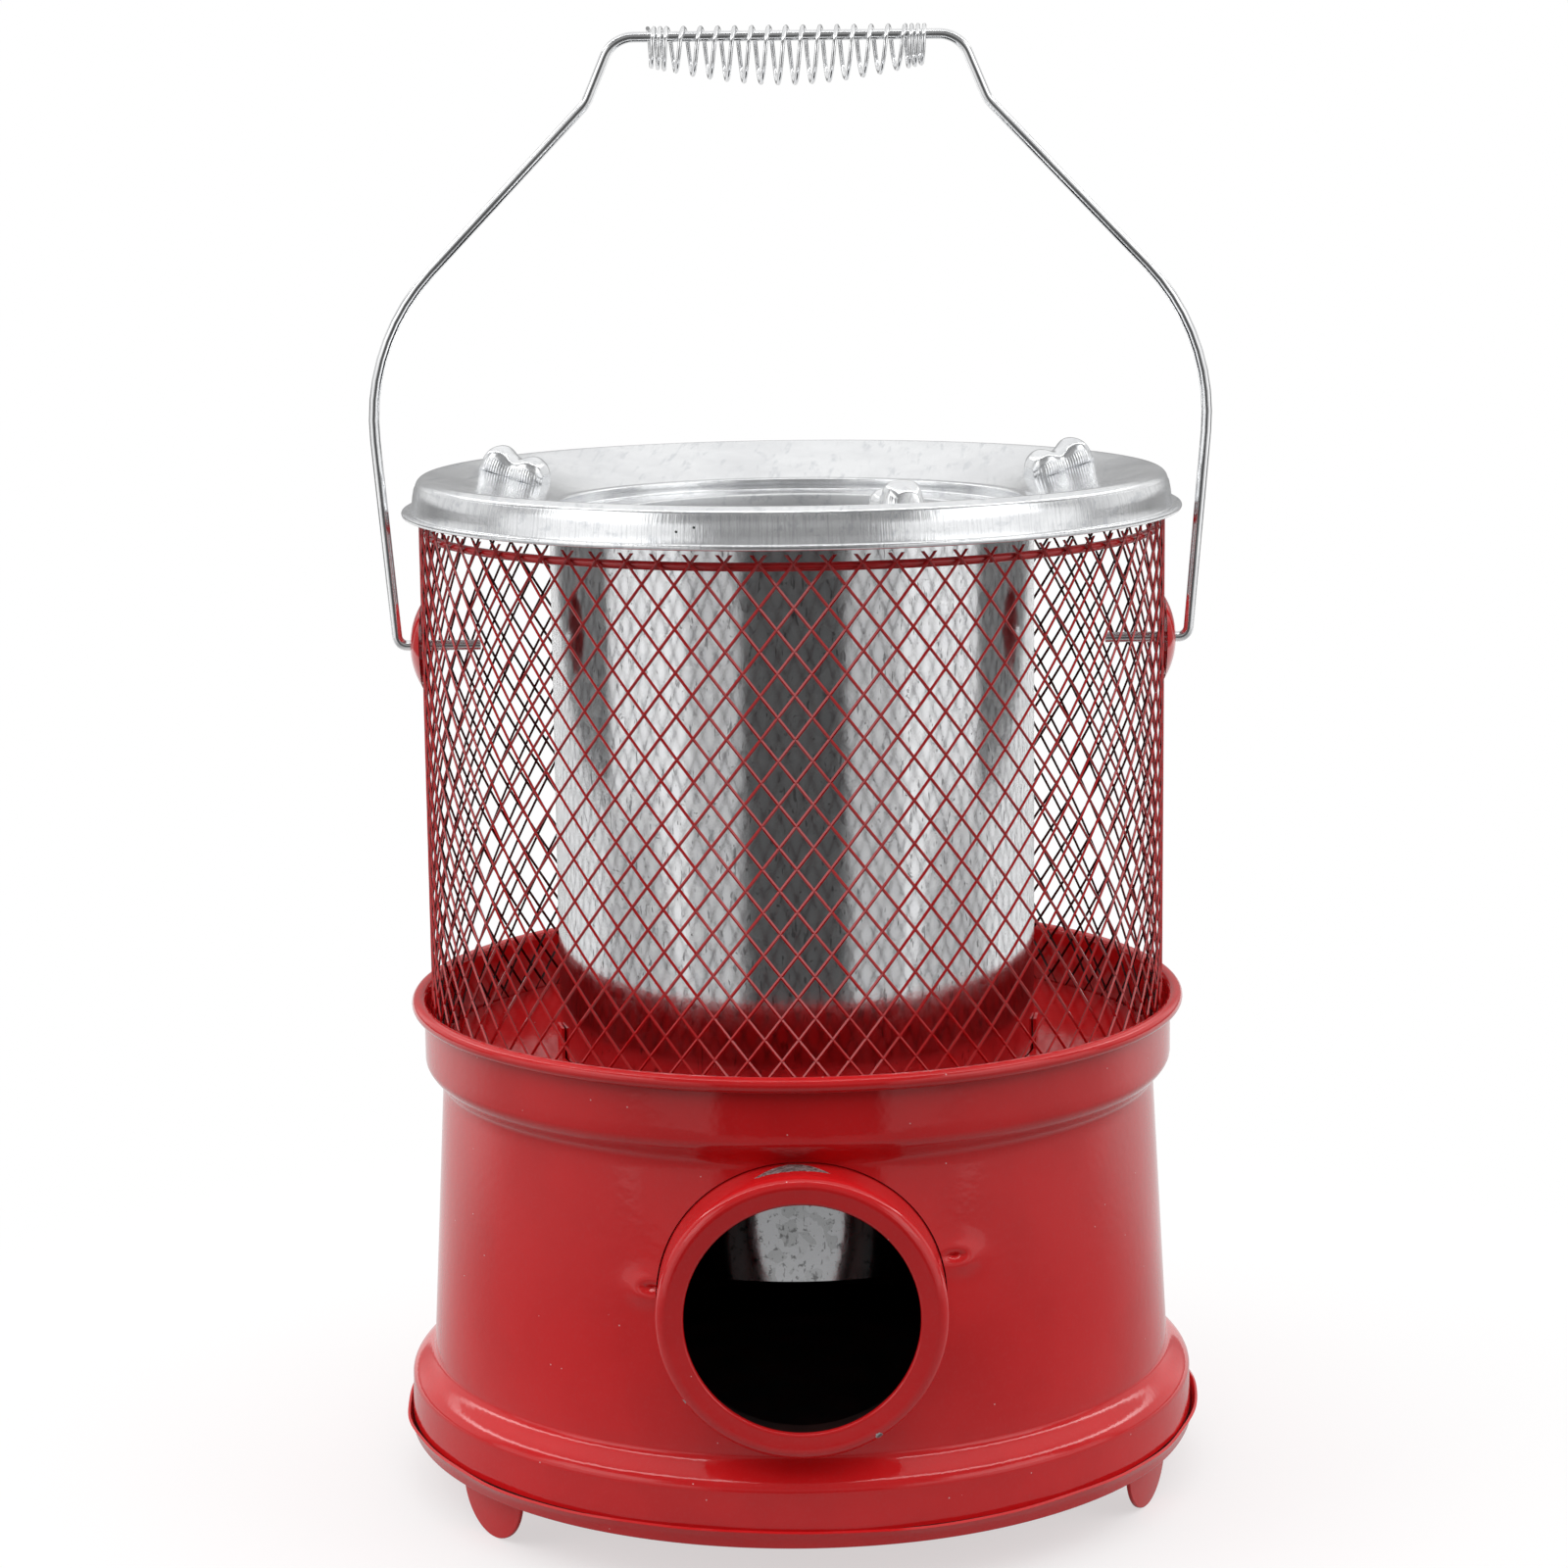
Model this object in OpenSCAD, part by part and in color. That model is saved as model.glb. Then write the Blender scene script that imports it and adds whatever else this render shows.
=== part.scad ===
// Portable charcoal heating stove: a red tinplate base with a round air port, a bright fire tube inside a
// guard of expanded metal, a lift-off ring lid with three pot rests, and a wire bail with a spring grip.
// Millimetres, +Z up. The origin is on the ground, on the stove's axis, and the air port faces -Y.

/* [Base] */
// Height of the pan's underside above the ground, and radius of the half-round feet
foot_drop = 15; // [10:0.5:22]
// Distance from the shell's bottom edge in to the middle of each foot
foot_inset = 5.6; // [3:0.1:15]
// Thickness of the foot tabs
foot_sheet = 1.2; // [0.8:0.1:2]
// Thickness of the painted sheet
paint_sheet = 0.8; // [0.6:0.05:1.2]
// Outer radius of the base shell at its bottom edge
base_r = 116.6; // [112:0.1:122]
// Clearance between the shell's bottom edge and the pan
base_fit = 0.1; // [0.05:0.05:0.4]
// Height of the upright band at the foot of the shell
band_h = 13; // [8:0.5:18]
// Height of the rounded shoulder above the band
shoulder_h = 12; // [8:0.5:16]
// How far the upright band leans in over its height
band_lean = 0.4; // [0.2:0.1:1]
// How far the shoulder draws the shell in, from its bottom edge to the wall
shoulder_in = 7.3; // [4:0.1:9]
// Height of the tapered wall
wall_h = 79; // [76:0.5:100]
// How far the wall draws in from the shoulder to the neck
wall_taper = 4.5; // [2:0.1:6]
// Height of the flare from the neck to the rim
flare_h = 8; // [5:0.5:12]
// Gap between the guard and the inside of the upright rim
rim_gap = 0.7; // [0.4:0.05:1.5]
// Height of the upright rim below its bead
rim_h = 14; // [10:0.5:20]
// Diameter of the bead rolled round the rim
bead_d = 4.4; // [3:0.1:6]

/* [Floor pan] */
// Height of the lip turned up round the pan
pan_lip_h = 5; // [3:0.25:8]
// How far the lip leans outward over its height
pan_lip_lean = 2.4; // [0.5:0.1:4]
// Gap between the shell's bottom edge and the foot of the lip
pan_gap = 0.3; // [0.2:0.05:1]
// Radius of the bend at the foot of the lip
pan_round = 1; // [0.9:0.05:1.5]

/* [Air port] */
// Radius of the port's opening
port_r = 32; // [24:0.5:34]
// Outer radius of the port's collar
port_collar_r = 39.7; // [36:0.1:41]
// Height of the port's centre above the pan's underside
port_h = 66; // [64:0.5:70]
// How far the collar's front stands out past the shell's bottom edge
port_out = 4.4; // [1:0.1:9]
// Radius of the collar's rounded front edge
port_round = 3.5; // [2:0.1:5]
// Clearance between the collar and the hole in the wall
port_fit = 0.3; // [0.2:0.05:0.6]

/* [Fire tube] */
// Outer radius of the fire tube
tube_r = 70.5; // [60:0.5:76]
// Thickness of the bright galvanised sheet
bright_sheet = 0.6; // [0.5:0.05:1]
// Height of the tube's lower edge above the pan's underside
tube_low_h = 61; // [50:0.5:75]
// Length of the fire tube
tube_len = 213.4; // [180:0.2:240]
// Clearance between the tube and the hole in the deck
tube_fit = 0.3; // [0.2:0.05:0.6]
// Width of each tab that holds the tube or the grate
tab_w = 8; // [5:0.5:12]
// Length of each of those tabs
tab_len = 9; // [6:0.5:12]
// Thickness of the grate
grate_t = 2; // [1.5:0.1:4]
// Clearance between the grate and the tube
grate_fit = 0.6; // [0.3:0.1:2]
// Diameter of the grate's holes
grate_hole_d = 9; // [6:0.5:11]
// Distance between the rings of holes in the grate
grate_pitch = 17; // [14:0.5:19]

/* [Guard] */
// Outer radius of the expanded-metal guard
guard_r = 108.3; // [104:0.1:112]
// Height of the guard above the deck, between its first and last knots
guard_h = 155.6; // [140:0.2:160]
// Number of mesh openings round the guard
mesh_around = 46; // [24:2:46]
// Number of knot-to-knot steps up the guard
mesh_rows = 17; // [13:2:17]
// Number of knot-to-knot steps from the deck up to the opening that the bail goes through
ear_rows = 13; // [9:2:13]
// Width of a mesh strand
strand_w = 1.3; // [1:0.05:1.8]
// Depth of a mesh strand
strand_t = 1.1; // [0.8:0.05:1.6]
// Diameter of the hoop inside the top of the guard
hoop_d = 2.4; // [2:0.1:4]
// Depth of the hoop's middle below the guard's last knots
hoop_drop = 2.5; // [2:0.1:8]
// Clearance of the pieces that rest against the guard
guard_fit = 0.2; // [0.1:0.05:0.4]
// Diameter of the domed ears
ear_d = 25; // [20:0.5:32]
// Height of an ear's dome
ear_dome = 3.6; // [2.5:0.1:5]
// Gap between an ear's dome and the bend of the bail outside it
ear_gap = 0.6; // [0.4:0.1:1.5]

/* [Lid] */
// Radius of the opening in the lid
mouth_r = 55; // [45:0.5:58]
// Depth of the lip turned down round the opening
mouth_lip = 5; // [3:0.5:8]
// Depth of the step that drops into the tube
lid_step = 3.5; // [2:0.1:5]
// Radial clearance between that step and the tube
lid_fit = 0.6; // [0.4:0.05:1]
// Height of the lid above the tube's edge when it is seated
lid_seat = 0.3; // [0.2:0.05:0.4]
// Width of the lid's seat outside the tube
seat_w = 1; // [0.8:0.1:2]
// How far the lid's flange reaches out past the guard
flange_over = 3.9; // [3:0.1:4.5]
// Width of the flange round the foot of the skirt
flange_w = 1.8; // [1.2:0.1:2.5]
// How far the skirt leans in from the flange to the crest
skirt_lean = 1.4; // [0.5:0.1:3]
// Height of the crest above the seat on the tube
lid_rise = 8.7; // [6:0.1:12]
// Height of the crest above the flange
skirt_h = 10; // [8:0.1:10.5]
// Radius of the rounded crest
crest_round = 3; // [2:0.1:4]
// Diameter of the hem rolled round the flange
lid_hem_d = 1.8; // [1.6:0.1:2.2]

/* [Pot rests] */
// Distance of each pot rest's middle, outward from the middle of the lid's slope
rest_out = 1.25; // [-2:0.05:3]
// Length of a pot rest, along the stove's radius
rest_len = 21.6; // [16:0.1:24]
// Width of a pot rest
rest_w = 12; // [8:0.5:16]
// Height of a pot rest above the lid
rest_h = 8; // [6.5:0.1:9]
// Radius of each of its two humps
hump_r = 5.6; // [4.5:0.1:6]
// Height of the slit left under its two sides
rest_slit = 1; // [0.6:0.1:1.6]

/* [Bail] */
// Diameter of the bail's wire
wire_d = 3; // [2:0.1:4]
// Radial clearance of the wire in the ears
pivot_fit = 0.08; // [0.05:0.01:0.1]
// Length of wire that shows inside the guard
pin_in = 17; // [10:0.5:22]
// How far the bail's shoulders, where two straight runs meet, stand out past its feet
shoulder_out = 7.1; // [5:0.1:12]
// Height of that shoulder above the pivot
shoulder_up = 88; // [80:0.5:100]
// Half width of the bail at the foot of the gooseneck
neck_x = 57.4; // [54:0.1:64]
// Height of the foot of the gooseneck above the pivot
neck_up = 155.6; // [140:0.2:170]
// Half width of the bail at the top of the gooseneck
grip_x = 49.5; // [49:0.1:54]
// Height of the grip's wire above the pivot
grip_up = 174; // [165:0.5:190]
// Bend radius at the ears
ear_bend = 3; // [2.5:0.1:5]
// Bend radius of the wide shoulders
shoulder_bend = 62; // [40:1:70]
// Bend radius at the foot of the gooseneck
neck_bend = 10; // [6:0.5:14]
// Bend radius between the gooseneck and the grip
grip_bend = 9; // [6:0.5:10]

/* [Spring grip] */
// Length of the spring
spring_len = 80; // [60:1:82]
// Diameter of the spring's wire
spring_wire = 1.2; // [0.8:0.1:1.5]
// Outer diameter of the spring's end turns
spring_end_d = 11.6; // [9:0.1:13]
// Outer diameter of the spring's middle turns
spring_mid_d = 17; // [13:0.1:20]
// Open turns along the spring
open_turns = 14; // [10:1:16]
// Close turns at each end
close_turns = 3; // [2:1:3]
// Clear gap between neighbouring close turns
close_gap = 0.6; // [0.5:0.05:1]
// Clearance of the hanging turns above the bail's wire
hang_fit = 0.3; // [0.2:0.05:0.5]

/* [Hidden] */
$fn = 96;
red_paint = [0.66, 0.11, 0.13];
galvanised = [0.78, 0.79, 0.80];
bright_wire = [0.70, 0.71, 0.73];
dark_iron = [0.30, 0.30, 0.31];
cut_past = 20;
bend_lap = 0.1;
bend_thinning = 0.02;

// Feet and pot rests stand where the stove shows them, measured from +X
foot_angles = [-143, -26, 96];
rest_angles = [157, 26, -72];
tube_tab_angles = [-8, 92, 192];
grate_tab_angles = [30, 150, 270];
grate_ring_holes = [1, 6, 12, 18];

// Levels and radii that several pieces share
foot_ring_r = base_r - foot_inset;
wall_low_r = base_r - shoulder_in;
wall_top_r = wall_low_r - wall_taper;
rim_r = guard_r + rim_gap + paint_sheet;
shell_z = foot_drop + paint_sheet;
flare_z = shell_z + band_h + shoulder_h + wall_h;
deck_z = flare_z + flare_h;
deck_top = deck_z + paint_sheet;
bead_z = deck_z + rim_h + bead_d / 2;
port_z = foot_drop + port_h;
port_reach = base_r + port_out;
tube_in_r = tube_r - bright_sheet;
tube_low_z = foot_drop + tube_low_h;
tube_top_z = tube_low_z + tube_len;
tube_tab_z = tube_low_z + bright_sheet;
grate_z = tube_tab_z + bright_sheet;
step_up = guard_h / mesh_rows;
half_turn = 180 / mesh_around;
half_mesh = guard_r * half_turn * PI / 180;
strand_run = norm([half_mesh, step_up]);
knot_x = strand_w / 2 * strand_run / step_up;
knot_z = strand_w / 2 * strand_run / half_mesh;
guard_z = deck_top + guard_fit + knot_z;
guard_in_r = guard_r - strand_t;
pivot_z = guard_z + ear_rows * step_up;
ear_x = guard_r + guard_fit;
seat_z = tube_top_z + lid_seat + bright_sheet;
crest_z = seat_z + lid_rise;
flange_z = crest_z - skirt_h;
flange_r = guard_r + flange_over;
skirt_r = flange_r - flange_w;
crest_r = skirt_r - skirt_lean - crest_round;
seat_r = tube_r + seat_w;
rest_r = (seat_r + crest_r) / 2 + rest_out;
plug_r = tube_in_r - lid_fit - bright_sheet;
ledge_z = seat_z - lid_step;
lid_slope = atan2(lid_rise, crest_r - seat_r);
pin_tip_x = ear_x - pin_in;
bail_foot_x = ear_x + ear_dome + ear_gap + ear_bend;
shoulder_x = bail_foot_x + shoulder_out;
grip_z = pivot_z + grip_up;

// Points of an arc about a centre, from one angle to another
function arc(centre, r, from, to, steps) =
    [for (i = [0 : steps]) let (a = from + (to - from) * i / steps) centre + r * [cos(a), sin(a)]];

// Points of a smooth S from one point to another, upright at both ends
function swell(from, to, steps) =
    [for (i = [0 : steps]) let (t = i / steps)
        [from[0] + (to[0] - from[0]) * (1 - cos(180 * t)) / 2, from[1] + (to[1] - from[1]) * t]];

// A path moved sideways by a sheet's thickness, to its left
function side(path, i) = let (d = path[i + 1] - path[i]) [-d[1], d[0]] / norm(d);
function mitre(path, i) =
    i == 0 ? side(path, 0)
    : i == len(path) - 1 ? side(path, i - 1)
    : let (a = side(path, i - 1), b = side(path, i)) (a + b) / (1 + a * b);
function moved(path, t) = [for (i = [0 : len(path) - 1]) path[i] + t * mitre(path, i)];
function reversed(list) = [for (i = [len(list) - 1 : -1 : 0]) list[i]];

// Section of a sheet that follows a path
module sheet(path, t) polygon(concat(path, reversed(moved(path, t))));

// Shallow dish with a lip turned up and outward round the shell's bottom edge
module floor_pan() {
    lip_r = base_r + pan_gap + paint_sheet;
    outline = concat([[0, foot_drop], [lip_r - pan_round, foot_drop]],
        arc([lip_r - pan_round, foot_drop + pan_round], pan_round, -60, -20, 2),
        [[lip_r + pan_lip_lean, foot_drop + pan_lip_h]]);
    color(red_paint) rotate_extrude() sheet(outline, paint_sheet);
}

// Half-round tab that stands across the radius under the pan
module foot(angle) {
    color(red_paint) rotate([0, 0, angle]) translate([foot_ring_r, 0, foot_drop]) rotate([0, 90, 0])
        intersection() {
            cylinder(r = foot_drop, h = foot_sheet, center = true);
            translate([0, -foot_drop, -foot_sheet]) cube([foot_drop, 2 * foot_drop, 2 * foot_sheet]);
        }
}

// Drawn shell with a stepped foot, a tapered wall, a flared rim and a rolled bead, holed for the air port
module base_shell() {
    band_top = shell_z + band_h;
    outline = concat([[base_r, shell_z + base_fit]],
        swell([base_r - band_lean, band_top], [wall_low_r, band_top + shoulder_h], 8),
        swell([wall_top_r, flare_z], [rim_r, deck_z], 6),
        [[rim_r, bead_z]]);
    color(red_paint) difference() {
        rotate_extrude() union() {
            sheet(outline, paint_sheet);
            translate([rim_r - paint_sheet + bead_d / 2, bead_z]) circle(d = bead_d, $fn = 32);
        }
        translate([0, -wall_top_r / 2, port_z]) rotate([90, 0, 0])
            cylinder(r = port_collar_r + port_fit, h = wall_top_r);
    }
}

// Short tube through the wall, with its front edge rounded and turned in round the port
module port_collar() {
    back_y = sqrt(pow(wall_top_r, 2) - pow(port_collar_r, 2)) - 4 * paint_sheet;
    outline = concat([[port_collar_r, back_y]],
        arc([port_collar_r - port_round, port_reach - port_round], port_round, 0, 90, 6),
        [[port_r - paint_sheet, port_reach - paint_sheet / 2]]);
    color(red_paint) translate([0, 0, port_z]) rotate([90, 0, 0]) rotate_extrude() difference() {
        sheet(outline, paint_sheet);
        translate([port_r - cut_past, 0]) square([cut_past, 2 * port_reach]);
    }
}

// Ring that closes the top of the base, with tabs bent up from its hole against the fire tube
module deck_plate() {
    hole_r = tube_r + tube_fit;
    color(red_paint) difference() {
        union() {
            translate([0, 0, deck_z]) cylinder(r = rim_r - paint_sheet - guard_fit, h = paint_sheet);
            for (angle = tube_tab_angles) rotate([0, 0, angle])
                translate([hole_r - paint_sheet, -tab_w / 2, deck_z + paint_sheet / 2])
                    cube([2 * paint_sheet, tab_w, paint_sheet / 2 + tab_len]);
        }
        translate([0, 0, deck_z - cut_past]) cylinder(r = hole_r, h = 2 * cut_past + tab_len);
    }
}

// Straight tube that holds the fire, with tabs bent in at its foot for the grate
module fire_tube() {
    color(galvanised) union() {
        translate([0, 0, tube_low_z]) difference() {
            cylinder(r = tube_r, h = tube_len);
            translate([0, 0, -cut_past]) cylinder(r = tube_in_r, h = tube_len + 2 * cut_past);
        }
        for (angle = grate_tab_angles) rotate([0, 0, angle])
            translate([tube_in_r - tab_len, -tab_w / 2, tube_tab_z])
                cube([tab_len + bright_sheet / 2, tab_w, bright_sheet]);
    }
}

// Pierced disc that carries the charcoal on the tube's tabs
module grate() {
    color(dark_iron) translate([0, 0, grate_z]) difference() {
        cylinder(r = tube_in_r - grate_fit, h = grate_t);
        for (ring = [0 : len(grate_ring_holes) - 1]) let (holes = grate_ring_holes[ring])
            for (i = [0 : holes - 1]) rotate([0, 0, 360 * i / holes])
                translate([ring * grate_pitch, 0, -cut_past])
                    cylinder(d = grate_hole_d, h = 2 * cut_past, $fn = 24);
    }
}

// Cylinder of expanded metal. Each knot has four outer corners (east, north, west, south) and one inner
// point, and a strand runs up to the knot on either side of it in the next row.
module guard_mesh() {
    columns = 2 * mesh_around;
    function at(column, up, r) =
        [r * cos(column * half_turn), r * sin(column * half_turn), guard_z + up];
    knots = [for (row = [0 : mesh_rows], k = [0 : mesh_around - 1]) [2 * k + row % 2, row]];
    sideways = knot_x / half_mesh;
    points = [for (k = knots) each [
        at(k[0] + sideways, k[1] * step_up, guard_r),
        at(k[0], k[1] * step_up + knot_z, guard_r),
        at(k[0] - sideways, k[1] * step_up, guard_r),
        at(k[0], k[1] * step_up - knot_z, guard_r),
        at(k[0], k[1] * step_up, guard_in_r)]];
    function knot(column, row) =
        5 * (row * mesh_around + floor(((column + columns) % columns) / 2));
    function strand(a_out, a_in, a, b_out, b_in, b) = [
        [a_out, b_out, b_in], [a_out, b_in, a_in],
        [b_out, a_out, a + 4], [b_out, a + 4, b + 4],
        [a_in, b_in, b + 4], [a_in, b + 4, a + 4]];
    faces = [for (k = knots) let (a = knot(k[0], k[1])) each concat(
        [[a + 1, a, a + 3], [a + 1, a + 3, a + 2]],
        k[1] == 0 ? [[a + 3, a, a + 4], [a + 2, a + 3, a + 4]] : [],
        k[1] == mesh_rows ? [[a, a + 1, a + 4], [a + 1, a + 2, a + 4]] :
            let (right = knot(k[0] + 1, k[1] + 1), left = knot(k[0] - 1, k[1] + 1)) concat(
                strand(a + 1, a, a, right + 2, right + 3, right),
                strand(a + 2, a + 1, a, left + 3, left, left)))];
    color(red_paint) polyhedron(points, faces);
}

// Rod hoop that rounds the top of the guard from inside
module guard_hoop() {
    color(red_paint) translate([0, 0, guard_z + guard_h - hoop_drop]) rotate_extrude()
        translate([guard_in_r - guard_fit - hoop_d / 2, 0]) circle(d = hoop_d, $fn = 32);
}

// Domed cap with a flat edge on the outside of the guard, with the hole that the bail turns in
module ear(angle) {
    ball_r = (pow(ear_d / 2, 2) + pow(ear_dome, 2)) / (2 * ear_dome);
    edge = asin(ear_d / 2 / ball_r);
    hole_r = wire_d / 2 + pivot_fit;
    crown = asin(hole_r / 2 / ball_r);
    color(red_paint) rotate([0, 0, angle]) translate([ear_x, 0, pivot_z]) rotate([0, 90, 0]) difference() {
        rotate_extrude() intersection() {
            sheet(arc([0, ear_dome - ball_r], ball_r, 90 - edge, 90 - crown, 6), paint_sheet);
            square([ear_d, ear_d]);
        }
        translate([0, 0, -cut_past]) cylinder(r = hole_r, h = 2 * cut_past);
    }
}

// Outline of a pot rest, seen across the radius: two humps on one foot
module humps(inset) {
    hump_x = rest_len / 2 - hump_r;
    for (x = [-hump_x, hump_x]) translate([x, rest_h - hump_r]) circle(r = hump_r - inset, $fn = 48);
    translate([inset - rest_len / 2, -2 * bright_sheet])
        square([rest_len - 2 * inset, rest_h - hump_r + 2 * bright_sheet]);
}

// Carries a pot rest's shapes to its place on the lid's slope
module on_lid(angle) {
    rotate([0, 0, angle]) translate([rest_r, 0, seat_z + (rest_r - seat_r) * tan(lid_slope)])
        rotate([0, -lid_slope, 0]) children();
}

// Pressed ring: rolled flange, skirt, rounded crest, slope, step into the tube and lip round the opening,
// with three pot rests raised from the slope and cut free along their sides
module lid_cover() {
    outline = concat([[flange_r, flange_z], [skirt_r, flange_z]],
        arc([crest_r, crest_z - crest_round], crest_round, 8, 90 + lid_slope, 6),
        [[seat_r, seat_z], [plug_r, seat_z], [plug_r, ledge_z], [mouth_r, ledge_z],
        [mouth_r, ledge_z - mouth_lip]]);
    color(galvanised) difference() {
        union() {
            rotate_extrude() union() {
                sheet(outline, bright_sheet);
                translate([flange_r, flange_z - bright_sheet / 2]) circle(d = lid_hem_d, $fn = 24);
            }
            for (angle = rest_angles) on_lid(angle) rotate([90, 0, 0])
                linear_extrude(rest_w, center = true) humps(0);
        }
        for (angle = rest_angles) on_lid(angle) {
            rotate([90, 0, 0]) linear_extrude(rest_w - 2 * bright_sheet, center = true)
                union() {
                    humps(bright_sheet);
                    translate([bright_sheet - rest_len / 2, -cut_past / 4])
                        square([rest_len - 2 * bright_sheet, cut_past / 4]);
                }
            translate([-rest_len / 3, -rest_w, 0]) cube([rest_len * 2 / 3, 2 * rest_w, rest_slit]);
        }
    }
}

// Round wire bent in the XZ plane: straight runs between corners, each corner an arc of its own radius,
// drawn a little thinner than the wire and lapped by the runs on either side
module bent_wire(corners, bends, d) {
    last = len(corners) - 1;
    function way(i) = (corners[i + 1] - corners[i]) / norm(corners[i + 1] - corners[i]);
    function turn(i) = let (u = way(i - 1), v = way(i)) atan2(u[0] * v[1] - u[1] * v[0], u * v);
    function cut(i) = i == 0 || i == last ? 0 : bends[i] * tan(abs(turn(i)) / 2);
    for (i = [0 : last - 1]) {
        lap_start = i == 0 ? 0 : bend_lap;
        lap_end = i == last - 1 ? 0 : bend_lap;
        from = corners[i] + (cut(i) - lap_start) * way(i);
        run = norm(corners[i + 1] - corners[i]) - cut(i) - cut(i + 1) + lap_start + lap_end;
        translate([from[0], 0, from[1]]) rotate([0, atan2(way(i)[0], way(i)[1]), 0])
            cylinder(d = d, h = run, $fn = 48);
        if (i < last - 1)
            bend(corners[i + 1] - cut(i + 1) * way(i), way(i), turn(i + 1), bends[i + 1], d - bend_thinning);
    }
}

// Arc of wire in the XZ plane, from a point and along a direction, turned by an angle at a bend radius
module bend(from, way, turn, r, d) {
    side = sign(turn);
    centre = from + side * r * [-way[1], way[0]];
    start = atan2(-side * way[0], side * way[1]) + min(turn, 0);
    translate([centre[0], 0, centre[1]]) rotate([90, 0, 0]) rotate([0, 0, start])
        rotate_extrude(angle = abs(turn)) translate([r, 0]) circle(d = d, $fn = 48);
}

// Bail bent from one length of wire, its ends turned in through the ears
module bail_wire() {
    half = [[pin_tip_x, pivot_z], [bail_foot_x, pivot_z], [shoulder_x, pivot_z + shoulder_up],
        [neck_x, pivot_z + neck_up], [grip_x, grip_z]];
    half_bends = [0, ear_bend, shoulder_bend, neck_bend, grip_bend];
    other_half = [for (p = reversed(half)) [-p[0], p[1]]];
    color(bright_wire) bent_wire(concat(half, other_half), concat(half_bends, reversed(half_bends)), wire_d);
}

// Barrel spring that hangs on the grip's wire: close turns at both ends, open turns between
spring_turns = open_turns + 2 * close_turns;
close_pitch = spring_wire + close_gap;
open_pitch = (spring_len - spring_wire - 2 * close_turns * close_pitch) / open_turns;
rings_per_turn = 8;
spring_rings = spring_turns * rings_per_turn;
function spring_along(t) = (spring_wire - spring_len) / 2 + min(t, close_turns) * close_pitch
    + max(0, min(t - close_turns, open_turns)) * open_pitch
    + max(0, t - close_turns - open_turns) * close_pitch;
function spring_r(x) = (spring_end_d - spring_wire) / 2
    + (spring_mid_d - spring_end_d) / 2 * cos(180 * x / spring_len);
function spring_point(t, out, along) =
    let (x = spring_along(t), r = spring_r(x), top = (wire_d + spring_wire) / 2 + hang_fit)
    [x + along, (r + out) * sin(360 * t), grip_z + top - r + (r + out) * cos(360 * t)];
spring_line = [for (i = [0 : spring_rings]) spring_point(i / rings_per_turn, 0, 0)];
spring_gap = min([for (i = [0 : spring_rings], j = [i + 5 : min(i + 12, spring_rings)])
    if (j <= spring_rings) norm(spring_line[j] - spring_line[i])]) - spring_wire;
echo(least_gap_between_spring_turns = spring_gap);

module grip_spring() {
    sides = 6;
    points = [for (i = [0 : spring_rings], k = [0 : sides - 1])
        let (a = 360 * k / sides)
        spring_point(i / rings_per_turn, spring_wire / 2 * cos(a), spring_wire / 2 * sin(a))];
    function ring(i, k) = i * sides + (k + sides) % sides;
    walls = [for (i = [0 : spring_rings - 1], k = [0 : sides - 1]) each [
        [ring(i, k), ring(i + 1, k), ring(i + 1, k + 1)], [ring(i, k), ring(i + 1, k + 1), ring(i, k + 1)]]];
    ends = [for (k = [1 : sides - 2]) each [
        [ring(0, 0), ring(0, k), ring(0, k + 1)],
        [ring(spring_rings, 0), ring(spring_rings, k + 1), ring(spring_rings, k)]]];
    color(bright_wire) polyhedron(points, concat(walls, ends));
}

floor_pan();
foot(foot_angles[0]);  // foot_front_left
foot(foot_angles[1]);  // foot_front_right
foot(foot_angles[2]);  // foot_rear
base_shell();
port_collar();
deck_plate();
fire_tube();
grate();
guard_mesh();
guard_hoop();
ear(180);  // ear_left
ear(0);  // ear_right
lid_cover();
bail_wire();
grip_spring();
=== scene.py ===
import math

import bpy
from mathutils import Matrix, Vector


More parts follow.
